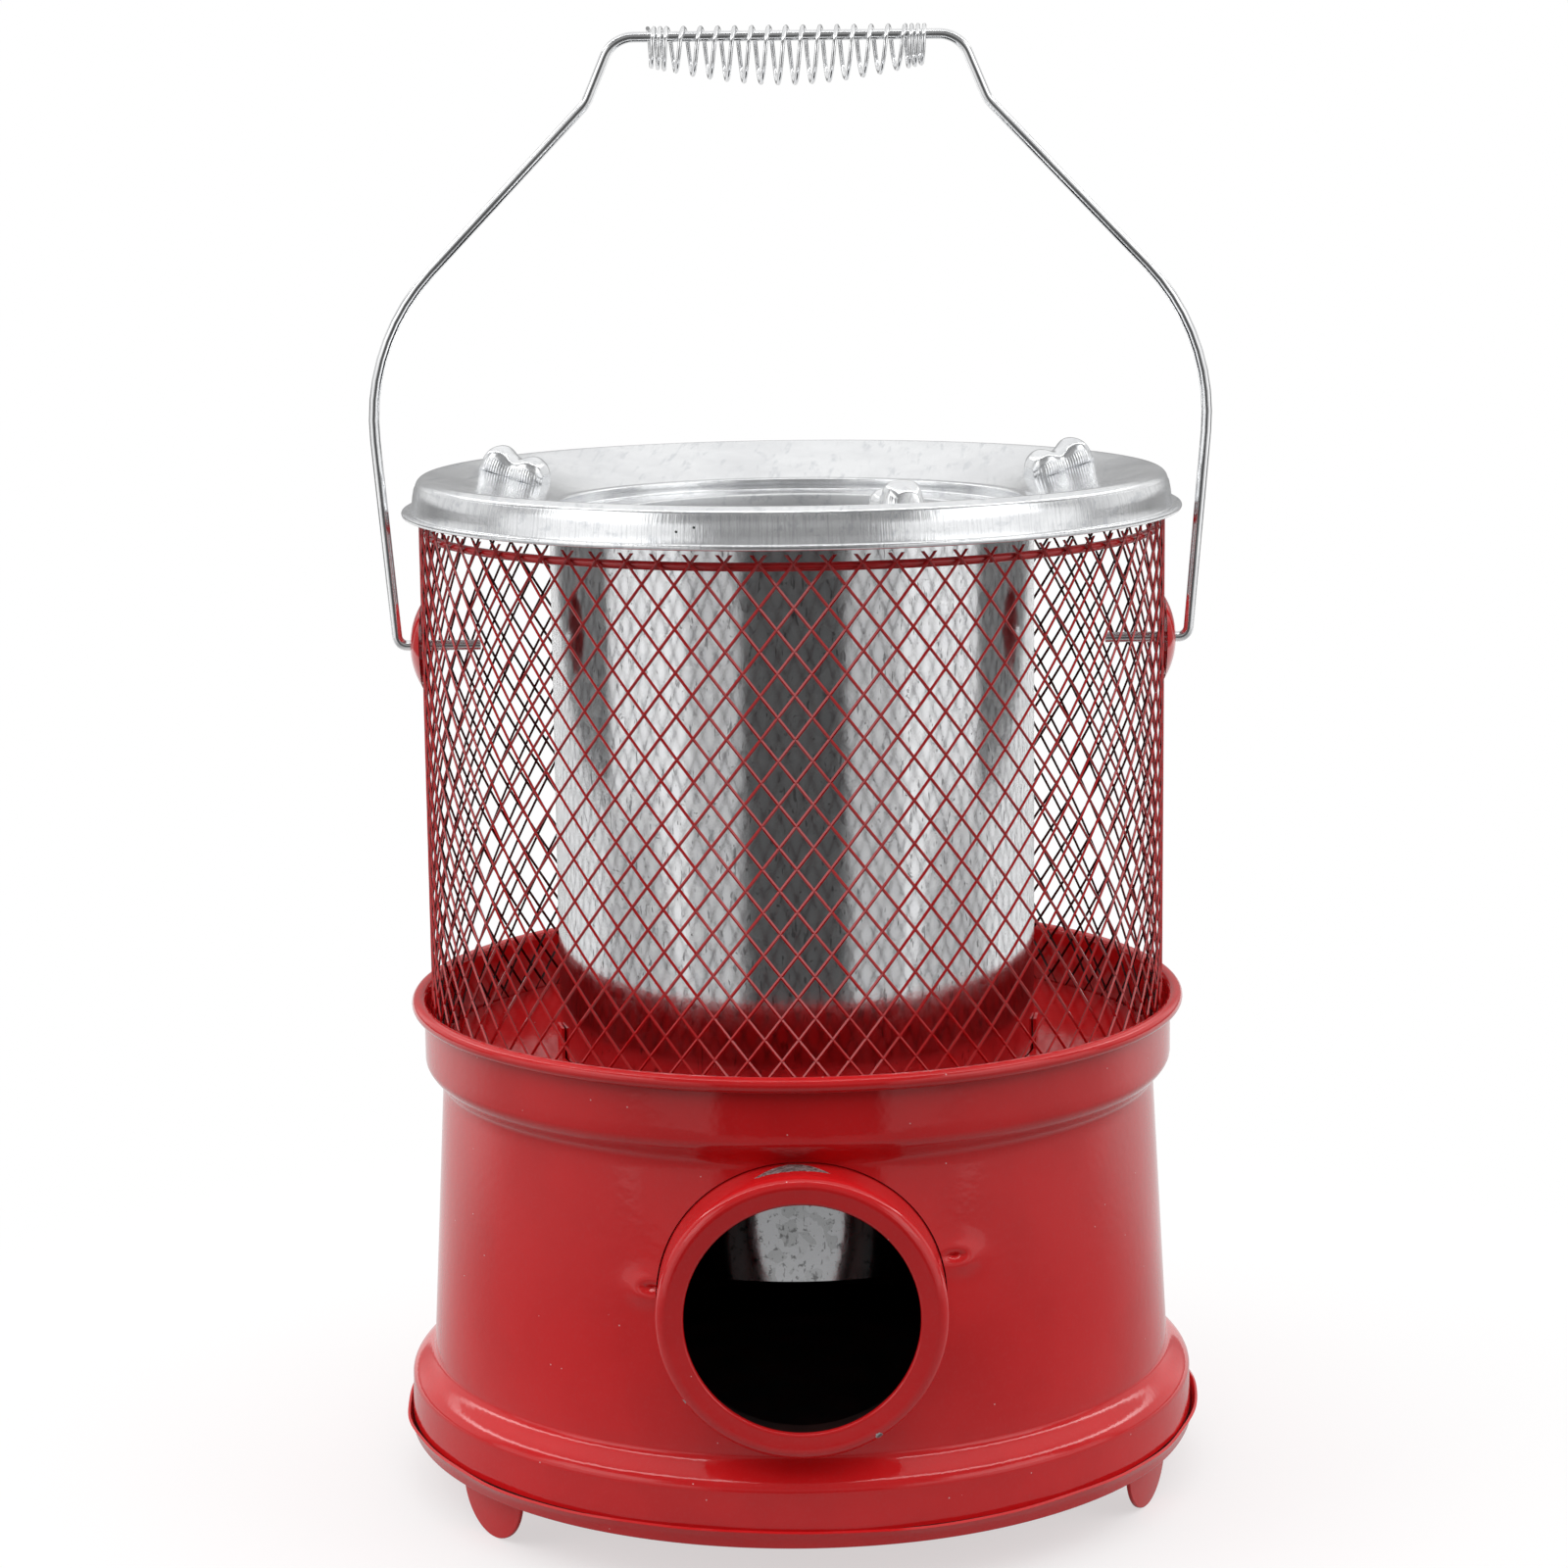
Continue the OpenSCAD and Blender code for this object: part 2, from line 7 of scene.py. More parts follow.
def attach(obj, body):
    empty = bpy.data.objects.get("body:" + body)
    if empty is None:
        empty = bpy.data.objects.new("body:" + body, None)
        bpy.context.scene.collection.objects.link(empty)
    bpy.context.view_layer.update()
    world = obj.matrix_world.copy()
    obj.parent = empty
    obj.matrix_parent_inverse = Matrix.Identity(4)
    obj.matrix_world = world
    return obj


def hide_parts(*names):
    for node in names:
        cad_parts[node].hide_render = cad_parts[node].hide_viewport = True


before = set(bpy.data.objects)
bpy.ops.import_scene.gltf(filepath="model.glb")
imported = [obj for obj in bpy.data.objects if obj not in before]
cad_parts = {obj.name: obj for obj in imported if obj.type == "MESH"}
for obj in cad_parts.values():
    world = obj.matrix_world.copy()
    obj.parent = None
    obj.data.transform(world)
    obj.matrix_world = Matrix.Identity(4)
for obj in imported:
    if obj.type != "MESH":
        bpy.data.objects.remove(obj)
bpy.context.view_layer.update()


# Studio: a white table that ends a little way in front of the stove, and white paper behind it. Soft boxes
# stand at both sides, a bright arch crosses overhead, and the room on the camera's side is dark. The camera
# looks ten degrees down.
class Shade:
    """A shader socket. Sums on it add Math nodes, and make() adds any other node to the same tree."""

    def __init__(self, tree, socket=None):
        self.tree, self.socket = tree, socket

    def make(self, kind, values=None, out=0, **settings):
        """A new node, as its output: its settings first, then the values or links of its sockets."""
        node = self.tree.nodes.new("ShaderNode" + kind)
        for key, value in settings.items():
            setattr(node, key, value)
        for name, value in (values or {}).items():
            if isinstance(value, Shade):
                self.tree.links.new(value.socket, node.inputs[name])
            else:
                node.inputs[name].default_value = value
        return Shade(self.tree, node.outputs[out] if node.outputs else None)

    def other(self, name):
        """Another output of the same node."""
        return Shade(self.tree, self.socket.node.outputs[name])

    def math(self, operation, a, b=0.0):
        return self.make("Math", {0: a, 1: b}, operation=operation)

    def __add__(self, other):
        return self.math("ADD", self, other)

    def __radd__(self, other):
        return self.math("ADD", other, self)

    def __sub__(self, other):
        return self.math("SUBTRACT", self, other)

    def __rsub__(self, other):
        return self.math("SUBTRACT", other, self)

    def __mul__(self, other):
        return self.math("MULTIPLY", self, other)

    def __rmul__(self, other):
        return self.math("MULTIPLY", other, self)

    def __lt__(self, other):
        return self.math("LESS_THAN", self, other)

    def __gt__(self, other):
        return self.math("GREATER_THAN", self, other)

    def ramp(self, low, high):
        """0 below low, 1 above high, smooth between."""
        return self.make("MapRange", {"Value": self, "From Min": low, "From Max": high},
                         interpolation_type="SMOOTHSTEP")

    def noise(self, scale, detail, roughness=0.5):
        """Noise at this place, from about 0.3 to 0.7."""
        return self.make("TexNoise", {"Vector": self, "Scale": scale, "Detail": detail,
                                      "Roughness": roughness})

    def mix(self, first, second):
        """The first colour where this socket is 0, and the second where it is 1."""
        first, second = (tone if isinstance(tone, Shade) else (*tone, 1.0) for tone in (first, second))
        return self.make("Mix", {0: self, 6: first, 7: second}, out=2, data_type="RGBA")

    def skin(self, values):
        """The finished surface of a material, from the sockets of its Principled shader."""
        self.make("OutputMaterial", {"Surface": self.make("BsdfPrincipled", values)})


def blank_finish(name):
    """A new material, with its nodes cleared."""
    material = bpy.data.materials.new(name)
    material.use_nodes = True
    shade = Shade(material.node_tree)
    shade.tree.nodes.clear()
    return material, shade


scene = bpy.context.scene
scene.view_settings.view_transform = "Standard"

eye_place = (-0.00314, -1.0685, 0.3947)
eye_down, eye_roll = math.radians(10), -0.012
eye = bpy.data.objects.new("eye", bpy.data.cameras.new("eye"))
scene.collection.objects.link(eye)
eye.data.lens = 84.42
eye.data.sensor_width = 36.0
eye.matrix_world = (Matrix.Translation(eye_place) @ Matrix.Rotation(math.radians(90) - eye_down, 4, "X")
                    @ Matrix.Rotation(eye_roll, 4, "Z"))
scene.camera = eye

scene.world = bpy.data.worlds.new("studio")
scene.world.use_nodes = True
room = Shade(scene.world.node_tree)
room.tree.nodes.clear()
ray = room.make("LightPath")
way = room.make("SeparateXYZ", {0: room.make("TexCoord", out="Generated")})
east, north, up = (way.other(axis) for axis in "XYZ")
bearing = room.math("ARCTAN2", room.math("ABSOLUTE", east), -1.0 * north)

# What metal and gloss mirror. Bearing is the angle round from the camera's side, and up is the height.
dark_room = 0.10
box_low = 0.58 * bearing.ramp(0.38, 0.50) + 0.45 * bearing.ramp(0.85, 0.95)
box_high = 1.1 * bearing.ramp(0.40, 0.60) - 0.25 * bearing.ramp(1.1, 1.5)
boxes = (box_low + (box_high - box_low) * up.ramp(0.05, 0.20)) * (1.0 - bearing.ramp(1.62, 1.76))
boxes = boxes * (1.0 - up.ramp(0.30, 0.45))
box_tops = (1.6 * bearing.ramp(0.70, 0.85) * (1.0 - bearing.ramp(1.35, 1.50))
            * up.ramp(0.29, 0.36) * (1.0 - up.ramp(0.56, 0.66)))
paper_sides = 0.60 * up.ramp(0.02, 0.10) * (1.0 - bearing.ramp(2.50, 2.80))
paper = (0.12 + paper_sides) * bearing.ramp(1.62, 1.90) + 0.12 * bearing.ramp(2.40, 2.52)
ceiling = 0.36 * up.ramp(0.06, 0.20) * (1.0 - 0.4 * up.ramp(0.40, 0.60))
over = up + 0.5 * north
canopy = 0.95 * over.ramp(0.70, 0.88)
arch = 5.0 * over.ramp(0.680, 0.710) * (1.0 - over.ramp(0.745, 0.775)) * up.ramp(0.35, 0.55)
mirrored = room.math("MAXIMUM", dark_room + boxes + paper, room.math("MAXIMUM", ceiling, canopy))
mirrored = mirrored + arch + box_tops

# What lights the paint: softer, and weaker from the camera's side.
soft = (0.28 + 0.95 * bearing.ramp(0.5, 1.7)) * (0.12 + 0.88 * up.ramp(0.0, 0.5))
mirror_ray = room.math("MAXIMUM", ray.other("Is Glossy Ray"), ray.other("Is Transmission Ray"))
level = room.math("MAXIMUM", soft + mirror_ray * (mirrored - soft), ray.other("Is Camera Ray"))
sky = room.make("Background", {"Color": (1.0, 1.0, 1.0, 1.0), "Strength": level})
room.make("OutputWorld", {"Surface": sky})

lamp_target = Vector((0.0, 0.0, 0.2))
side_away, side_up, side_bearing = 1.3, 0.85, math.radians(75)
side_x, side_y = side_away * math.sin(side_bearing), -side_away * math.cos(side_bearing)
for name, place, size, power in (("box_left", (-side_x, side_y, side_up), (1.15, 2.0), 9.4),
                                 ("box_right", (side_x, side_y, side_up), (1.15, 2.0), 7.4),
                                 ("box_top", (0.0, -0.95, 1.5), (1.2, 1.2), 7.0)):
    lamp = bpy.data.lights.new(name, "AREA")
    lamp.shape, lamp.energy = "RECTANGLE", power
    lamp.size, lamp.size_y = size
    box = bpy.data.objects.new(name, lamp)
    box.visible_glossy = False
    scene.collection.objects.link(box)
    aim = (lamp_target - Vector(place)).to_track_quat("-Z", "Y").to_matrix().to_4x4()
    box.matrix_world = Matrix.Translation(place) @ aim

table_wide, table_front, table_back = 2.4, -0.45, 3.0
bpy.ops.object.select_all(action="DESELECT")
bpy.ops.mesh.primitive_plane_add(size=1, location=(0, (table_front + table_back) / 2, 0))
table = bpy.context.object
table.name = "table"
table.scale = (table_wide, table_back - table_front, 1.0)
bpy.ops.object.transform_apply(location=True, rotation=True, scale=True)
table_white, cloth = blank_finish("table_white")
table_spot = cloth.make("TexCoord", out="Object")
table_axes = cloth.make("SeparateXYZ", {0: table_spot})
far = cloth.make("VectorMath", {0: table_spot}, out="Value", operation="LENGTH")
aside, back = cloth.math("ABSOLUTE", table_axes.other("X")), table_axes.other("Y")
table_ray = cloth.make("LightPath")
table_mirrored = 0.22 + 0.28 * aside.ramp(0.25, 0.60) + 0.45 * back.ramp(0.0, 0.25)
table_level = (0.15 + 0.85 * table_ray.other("Is Camera Ray")
               + table_ray.other("Is Glossy Ray") * table_mirrored)
shadowed = cloth.make("BsdfDiffuse", {"Color": (0.92, 0.92, 0.92, 1.0)})
glow = cloth.make("Emission", {"Color": (1.0, 1.0, 1.0, 1.0), "Strength": table_level})
blend = cloth.make("MixShader", {0: 0.6 + 0.4 * far.ramp(0.10, 0.40), 1: shadowed, 2: glow})
cloth.make("OutputMaterial", {"Surface": blend})
table.data.materials.append(table_white)


# Floor pan: the shallow tinplate dish under the base. Its lip is turned up by hand tools, so it leans out and
# waves a little round the shell, and it is dipped in the same red paint. Sizes of pieces are in millimetres.
MM = 0.001


def turned(name, section, steps):
    """A sheet turned about the stove's axis: its section is drawn point by point, and spun."""
    bpy.ops.object.select_all(action="DESELECT")
    bpy.ops.mesh.primitive_plane_add(size=MM, location=(0, 0, 0))
    piece = bpy.context.object
    piece.name = name
    bpy.ops.object.mode_set(mode="EDIT")
    bpy.ops.mesh.select_all(action="SELECT")
    bpy.ops.mesh.merge(type="CENTER")
    bpy.ops.transform.translate(value=(section[0][0] * MM, 0, section[0][1] * MM))
    for (r, z), (next_r, next_z) in zip(section, section[1:]):
        bpy.ops.mesh.extrude_region_move(
            TRANSFORM_OT_translate={"value": ((next_r - r) * MM, 0, (next_z - z) * MM)})
    bpy.ops.mesh.select_all(action="SELECT")
    bpy.ops.mesh.spin(steps=steps, angle=math.tau, center=(0, 0, 0), axis=(0, 0, 1))
    bpy.ops.mesh.select_all(action="SELECT")
    bpy.ops.mesh.remove_doubles(threshold=1e-6)
    bpy.ops.mesh.normals_make_consistent(inside=False)
    bpy.ops.object.mode_set(mode="OBJECT")
    return piece


def arc(x, z, r, first, last, steps):
    """Points of an arc of a section, between two angles in degrees."""
    angles = [math.radians(first + (last - first) * i / steps) for i in range(steps + 1)]
    return [(x + r * math.cos(angle), z + r * math.sin(angle)) for angle in angles]


def thickened(piece, wall, offset=-1.0):
    """Gives a sheet its thickness, on the side that its faces turn away from."""
    bpy.context.view_layer.objects.active = piece
    bpy.ops.object.modifier_add(type="SOLIDIFY")
    solid = piece.modifiers[-1]
    solid.thickness, solid.offset, solid.use_even_offset = wall * MM, offset, True
    bpy.ops.object.modifier_apply(modifier=solid.name)


def smoothed(piece, angle=35):
    """Shades a piece smooth, and keeps its edges sharp past an angle."""
    bpy.ops.object.select_all(action="DESELECT")
    piece.select_set(True)
    bpy.context.view_layer.objects.active = piece
    bpy.ops.object.shade_smooth_by_angle(angle=math.radians(angle))


def red_paint(name, speck=0.55, peel=0.22, depth=1.0, shine=0.45, bare=None):
    """Dipped red gloss: a slow drift of tone, a faint orange peel, and dust caught in the paint. Bare is a
    function that says where the zinc under it shows."""
    deep, bright, dusty = ([depth * part for part in tone] for tone in (
        (0.60, 0.0095, 0.0115), (0.68, 0.0125, 0.0150), (0.62, 0.04, 0.045)))
    dust_pink, zinc_dark, zinc_light = (0.85, 0.60, 0.60), (0.15, 0.15, 0.15), (0.50, 0.505, 0.51)
    material, paint = blank_finish(name)
    spot = paint.make("TexCoord", out="Object")
    drift = spot.noise(22.0, 4.0, 0.6)
    grain = spot.noise(900.0, 2.0, 0.6)
    ripple = spot.noise(420.0, 1.5)
    sway = spot.noise(30.0, 0.0)
    dust = paint.make("TexVoronoi", {"Vector": spot, "Scale": 300.0, "Randomness": 1.0}, out="Distance")
    which = paint.make("SeparateColor", {0: dust.other("Color")})
    dots = (dust < 0.062) * (which > 1.0 - 0.25 * speck)
    tone = drift.ramp(0.3, 0.7).mix(deep, bright)
    tone = (0.20 * grain.ramp(0.45, 0.8)).mix(tone, dusty)
    tone = (0.75 * dots).mix(tone, dust_pink)
    gloss = 0.05 + 0.06 * drift + 0.03 * grain
    height = ripple + 1.5 * dots + 5.0 * sway
    metallic = 0.0
    if bare:
        axes = paint.make("SeparateXYZ", {0: spot})
        worn = bare(*(axes.other(axis) for axis in "XYZ"), grain)
        tone = worn.mix(tone, grain.ramp(0.40, 0.60).mix(zinc_dark, zinc_light))
        gloss = gloss + 0.30 * worn
        height = height - 2.0 * worn
        metallic = 0.5 * worn
    bump = paint.make("Bump", {"Strength": peel, "Distance": 0.0002, "Height": height})
    paint.skin({"Base Color": tone, "Roughness": gloss, "Normal": bump, "Metallic": metallic,
                "Specular IOR Level": shine})
    return material


shell_paint = red_paint("shell_paint")

# Painted shade: a near-black finish, mottled a little, for the insides that light hardly reaches.
inside_painted_shade, inside = blank_finish("inside_painted_shade")
shade_mottle = inside.make("TexCoord", out="Object").noise(60.0, 4.0)
inside.skin({"Base Color": shade_mottle.ramp(0.3, 0.7).mix((0.016, 0.012, 0.012), (0.045, 0.018, 0.017)),
             "Roughness": 0.45 + 0.25 * shade_mottle, "Specular IOR Level": 0.2})

red_wall = 0.8
pan_z, pan_bend, pan_inside_r = 15.0, 1.0, 116.0
lip_start, lip_wide, lip_in, lip_lift = 116.8, 3.3, 0.75, 0.25
lip_waves = ((5, 0.35, 0.7), (11, 0.25, 2.1), (23, 0.15, 0.0))
pan_section = ([(r, pan_z) for r in (0.0, 30.0, 60.0, 90.0, 108.0)]
               + arc(116.7, pan_z + pan_bend, pan_bend, -90, -20, 5)
               + [(118.2, 17.6), (119.2, 18.8), (120.1, 20.0)])
pan = turned("floor_pan_dish", pan_section, 256)
for v in pan.data.vertices:
    r = math.hypot(v.co.x, v.co.y) / MM
    if r > lip_start:
        angle = math.atan2(v.co.y, v.co.x)
        share = min((r - lip_start) / lip_wide, 1.0)
        wave = sum(out * math.sin(count * angle + start) for count, out, start in lip_waves)
        moved = 1 + share * (wave - lip_in) / r
        v.co.x, v.co.y = v.co.x * moved, v.co.y * moved
        v.co.z += share * lip_lift * MM * math.sin(7 * angle + 1.3)
thickened(pan, red_wall)
smoothed(pan)
pan.data.materials.append(shell_paint)
pan.data.materials.append(inside_painted_shade)
# Painted shade: the dish's floor inside the shell takes the near-black inside finish.
for face in pan.data.polygons:
    if face.normal.z > 0.9 and face.center.length < pan_inside_r * MM:
        face.material_index = 1
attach(pan, "stove")
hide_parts("floor_pan")


# Feet: three half-round tabs of thicker sheet, welded on edge across the radius under the pan and dipped with
# it. Their cut edge is rounded by the paint.
def placed(piece, matrix):
    """Moves a piece, with its place in its mesh."""
    bpy.ops.object.select_all(action="DESELECT")
    piece.select_set(True)
    bpy.context.view_layer.objects.active = piece
    piece.matrix_world = matrix
    bpy.ops.object.transform_apply(location=True, rotation=True, scale=True)


foot_r, foot_wall, foot_out, foot_edge = 14.98, 1.2, 111.0, 0.35
for node, turn in (("foot_front_left", -143), ("foot_front_right", -26), ("foot_rear", 96)):
    bpy.ops.object.select_all(action="DESELECT")
    bpy.ops.mesh.primitive_cylinder_add(vertices=96, radius=foot_r * MM, depth=foot_wall * MM,
                                        location=(0, 0, 0))
    foot = bpy.context.object
    foot.name = node + "_tab"
    bpy.ops.object.mode_set(mode="EDIT")
    bpy.ops.mesh.select_all(action="SELECT")
    bpy.ops.mesh.bisect(plane_co=(0, 0, 0), plane_no=(-1, 0, 0), use_fill=True, clear_outer=True)
    bpy.ops.object.mode_set(mode="OBJECT")
    bpy.ops.object.modifier_add(type="BEVEL")
    edge = foot.modifiers[-1]
    edge.width, edge.segments = foot_edge * MM, 3
    edge.limit_method, edge.angle_limit = "ANGLE", math.radians(50)
    bpy.ops.object.modifier_apply(modifier=edge.name)
    placed(foot, Matrix.Rotation(math.radians(turn), 4, "Z")
           @ Matrix.Translation((foot_out * MM, 0, pan_z * MM)) @ Matrix.Rotation(math.radians(90), 4, "Y"))
    smoothed(foot)
    foot.data.materials.append(shell_paint)
    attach(foot, "stove")
    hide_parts(node)


# Base shell: drawn from one sheet, with an upright band and a rounded shoulder at the foot, a tapered wall, a
# flared neck and a rim rolled over into a bead. It is holed for the air port, and two blisters show where the
# collar's tabs are clenched behind the wall. Its inside, and a thin strip of the band's foot in the gap
# behind the pan's lip, are painted near black as painted shade.
def straight(first, last, steps):
    """Points of a straight stretch of a section."""
    return [(first[0] + (last[0] - first[0]) * i / steps, first[1] + (last[1] - first[1]) * i / steps)
            for i in range(steps + 1)]


def swell(first, last, steps, ease=0.0):
    """Points of a smooth S between two points of a section, upright for a share of its height at each end."""
    shares = [min(max((i / steps - ease) / (1 - 2 * ease), 0.0), 1.0) for i in range(steps + 1)]
    return [(first[0] + (last[0] - first[0]) * (1 - math.cos(math.pi * share)) / 2,
             first[1] + (last[1] - first[1]) * i / steps) for i, share in enumerate(shares)]


def hump(across, rise, wide, tall):
    """How much of a soft hump is left at a place beside its middle."""
    return math.exp(-(across / wide) ** 2 - (rise / tall) ** 2)


seam_z, shaded_inside_top_z = 19.7, 127.5
band = [(116.5, 15.8), (116.6, 18.0), (116.57, seam_z), (116.5, 22.0), (116.3, 26.0)]
shoulder, wall_foot, wall_top, neck = (116.2, 28.8), (109.3, 40.8), (104.8, 119.8), (109.8, 127.8)
bead_r, bead_z = 2.2, 144.0
shell_section = (band
                 + swell(shoulder, wall_foot, 24, 0.15)
                 + straight(wall_foot, wall_top, 26)[1:-1]
                 + swell(wall_top, neck, 10)
                 + [(neck[0], z) for z in (131.0, 135.0, 139.0)]
                 + arc(neck[0] + bead_r, bead_z, bead_r, 180, -120, 20))
shell = turned("base_shell_drawn", shell_section, 360)
blisters = ((-41.5, 83.6, 1.3), (42.6, 91.5, 1.5))
blister_patch, blister_reach, crease_depth = 13.0, 14.0, 1.6
bpy.ops.object.mode_set(mode="EDIT")
bpy.ops.mesh.select_mode(type="FACE")
bpy.ops.mesh.select_all(action="DESELECT")
bpy.ops.object.mode_set(mode="OBJECT")
for face in shell.data.polygons:
    x, y, z = face.center / MM
    face.select = y < 0 and any(abs(x - blister_x) < blister_patch and abs(z - blister_z) < blister_patch
                                for blister_x, blister_z, out in blisters)
bpy.ops.object.mode_set(mode="EDIT")
bpy.ops.mesh.subdivide(number_cuts=3)
bpy.ops.mesh.select_mode(type="VERT")
bpy.ops.object.mode_set(mode="OBJECT")
for v in shell.data.vertices:
    x, y, z = v.co / MM
    for blister_x, blister_z, out in blisters:
        if y < 0 and abs(x - blister_x) < blister_reach and abs(z - blister_z) < blister_reach:
            away, rise = (x - blister_x) * math.copysign(1, blister_x), z - blister_z
            lump = out * hump(away - 1.5, rise + 0.5, 4.8, 3.8)
            crease = crease_depth * out * hump(away + 0.6, rise - 0.3, 2.6, 1.25)
            moved = 1 + (lump - crease) / math.hypot(x, y)
            v.co.x, v.co.y = v.co.x * moved, v.co.y * moved
thickened(shell, red_wall)
port_z, port_cut_r, port_cut_y, port_cut_deep = 81.0, 40.0, -100.0, 80.0
bpy.ops.object.select_all(action="DESELECT")
bpy.ops.mesh.primitive_cylinder_add(vertices=128, radius=port_cut_r * MM, depth=port_cut_deep * MM,
                                    location=(0, port_cut_y * MM, port_z * MM),
                                    rotation=(math.radians(90), 0, 0))
port_cutter = bpy.context.object
bpy.ops.object.select_all(action="DESELECT")
shell.select_set(True)
bpy.context.view_layer.objects.active = shell
bpy.ops.object.modifier_add(type="BOOLEAN")
port_cut = shell.modifiers[-1]
port_cut.operation, port_cut.object, port_cut.solver = "DIFFERENCE", port_cutter, "EXACT"
bpy.ops.object.modifier_apply(modifier=port_cut.name)
bpy.data.objects.remove(port_cutter)
smoothed(shell, 40)
shell.data.materials.append(shell_paint)
shell.data.materials.append(inside_painted_shade)
# Painted shade: the inward faces up to the neck, and the band's foot behind the pan's lip, take the
# near-black inside finish.
for face in shell.data.polygons:
    outward = face.normal.x * face.center.x + face.normal.y * face.center.y
    if outward < 0 and face.center.z < shaded_inside_top_z * MM or face.center.z < seam_z * MM:
        face.material_index = 1
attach(shell, "stove")
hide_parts("base_shell")


# Port collar: a short drawn tube through the wall, with its front edge rounded over and turned in round the
# air port. Its inside is painted near black as painted shade. The paint is missing from a crescent on its
# top, where the bare zinc shows, and is chipped at two places on its edge.
collar_r, collar_edge, collar_edge_y = 39.7, 3.3, 117.7
bore_r, bore_edge, bore_front = 32.0, 0.8, 119.0
collar_section = ([(collar_r, y) for y in (94.0, 100.0, 108.0, 114.0)]
                  + arc(collar_r - collar_edge, collar_edge_y, collar_edge, 0, 78, 8)
                  + [(36.2, 120.85), (35.2, 120.72), (34.0, 120.66), (33.0, 120.6)]
                  + arc(bore_r + bore_edge, bore_front + bore_edge, bore_edge, 90, 180, 4)
                  + [(bore_r, bore_front)])
collar = turned("port_collar_drawn", collar_section, 192)
thickened(collar, red_wall)
placed(collar, Matrix.Translation((0, 0, port_z * MM)) @ Matrix.Rotation(math.radians(90), 4, "X"))
smoothed(collar)
crescent_x, crescent_front, crescent_back, crescent_low = -2.3 * MM, -113.8 * MM, -107.0 * MM, 115.0 * MM
crescent_bow, crescent_ragged = 63.0, 1.2 * MM
chips = ((20.5 * MM, 48.3 * MM, 1.0 * MM), (-32.4 * MM, 58.0 * MM, 0.8 * MM))
chip_back = -112.0 * MM


def collar_bare(x, y, z, grain):
    """The crescent on the collar's top, and the two chips on its front edge."""
    across = x - crescent_x
    ragged = y + crescent_ragged * (grain - 0.5)
    bare = (ragged < crescent_back - crescent_bow * across * across) * (ragged > crescent_front)
    bare = bare * (z > crescent_low)
    for chip_x, chip_z, chip_r in chips:
        off_x, off_z = x - chip_x, z - chip_z
        chip = off_x * off_x + off_z * off_z < chip_r ** 2 * (0.3 + 1.4 * grain)
        bare = bare + chip * (y < chip_back)
    return bare


collar.data.materials.append(red_paint("collar_paint", bare=collar_bare))
collar.data.materials.append(inside_painted_shade)
# Painted shade: the collar's inward faces behind its front edge take the near-black inside finish.
for face in collar.data.polygons:
    x, y, z = face.center
    outward = face.normal.x * x + face.normal.z * (z - port_z * MM)
    if outward < -0.25 * collar_r * MM and y > -bore_front * MM:
        face.material_index = 1
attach(collar, "stove")
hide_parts("port_collar")


# Deck: the pressed ring that closes the top of the base, with three tabs lanced up against the fire tube. It
# is dipped with the shell, and mirrors in the tube.
deck_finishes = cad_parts["deck_plate"].data.materials
deck_finishes.clear()
deck_finishes.append(red_paint("deck_paint", shine=0.5))


# Fire tube: a straight tube of galvanised sheet, with the crystal flakes of hot-dipped zinc and dark marks
# drawn up its length. Below the deck it was never rubbed, so its flakes and pits show more. Three tabs bent
# in at its foot carry the grate.
tube_r, tube_foot, tube_top, tube_wall = 70.5, 76.0, 289.4, 0.6
tab_long, tab_wide, tab_out, tab_z = 9.0, 8.0, 65.5, 76.9
rubbed_z = 128.5
flake_dark, flake_light, zinc_cloud = (0.70, 0.705, 0.72), (0.79, 0.795, 0.805), (0.66, 0.665, 0.68)
mark_dark, pit_dark = (0.24, 0.235, 0.24), (0.22, 0.21, 0.21)
unrubbed_flake, unrubbed_pit = (0.44, 0.45, 0.45), (0.20, 0.20, 0.20)
tube_zinc, zinc = blank_finish("tube_zinc")
zinc_spot = zinc.make("TexCoord", out="Object")
bent = zinc.make("VectorMath", {0: zinc_spot.noise(200.0, 2.0).other("Color"), 1: (0.004, 0.004, 0.004)},
                 operation="MULTIPLY")
flake_spot = zinc.make("VectorMath", {0: zinc_spot, 1: bent}, operation="ADD")
flakes = zinc.make("TexVoronoi", {"Vector": flake_spot, "Scale": 260.0, "Randomness": 1.0}, out="Color")
flake = zinc.make("SeparateColor", {0: flakes})
marks = zinc.make("Mapping", {"Vector": zinc_spot, "Scale": (1.0, 1.0, 0.25)}).noise(900.0, 2.0)
pits = zinc_spot.noise(500.0, 2.0, 0.7)
unrubbed = zinc.make("SeparateXYZ", {0: zinc_spot}, out="Z") < rubbed_z * MM
zinc_tone = flake.ramp(0.0, 1.0).mix(flake_dark, flake_light)
for strength, colour in ((0.35 * zinc_spot.noise(18.0, 3.0).ramp(0.35, 0.7), zinc_cloud),
                         (0.7 * marks.ramp(0.64, 0.70), mark_dark),
                         (0.7 * pits.ramp(0.66, 0.74), pit_dark),
                         (0.55 * unrubbed * flake.ramp(0.3, 0.9), unrubbed_flake),
                         (0.75 * unrubbed * pits.ramp(0.58, 0.68), unrubbed_pit)):
    zinc_tone = strength.mix(zinc_tone, colour)
zinc_bump = zinc.make("Bump", {"Strength": 0.12, "Distance": 0.0002,
                               "Height": 0.12 * flake + 0.5 * pits + 0.3 * marks})
zinc.skin({"Base Color": zinc_tone, "Metallic": 1.0, "Roughness": 0.08 + 0.05 * flake + 0.05 * marks,
           "Normal": zinc_bump})
tube = turned("fire_tube_rolled", straight((tube_r, tube_foot), (tube_r, tube_top), 24), 224)
thickened(tube, tube_wall)
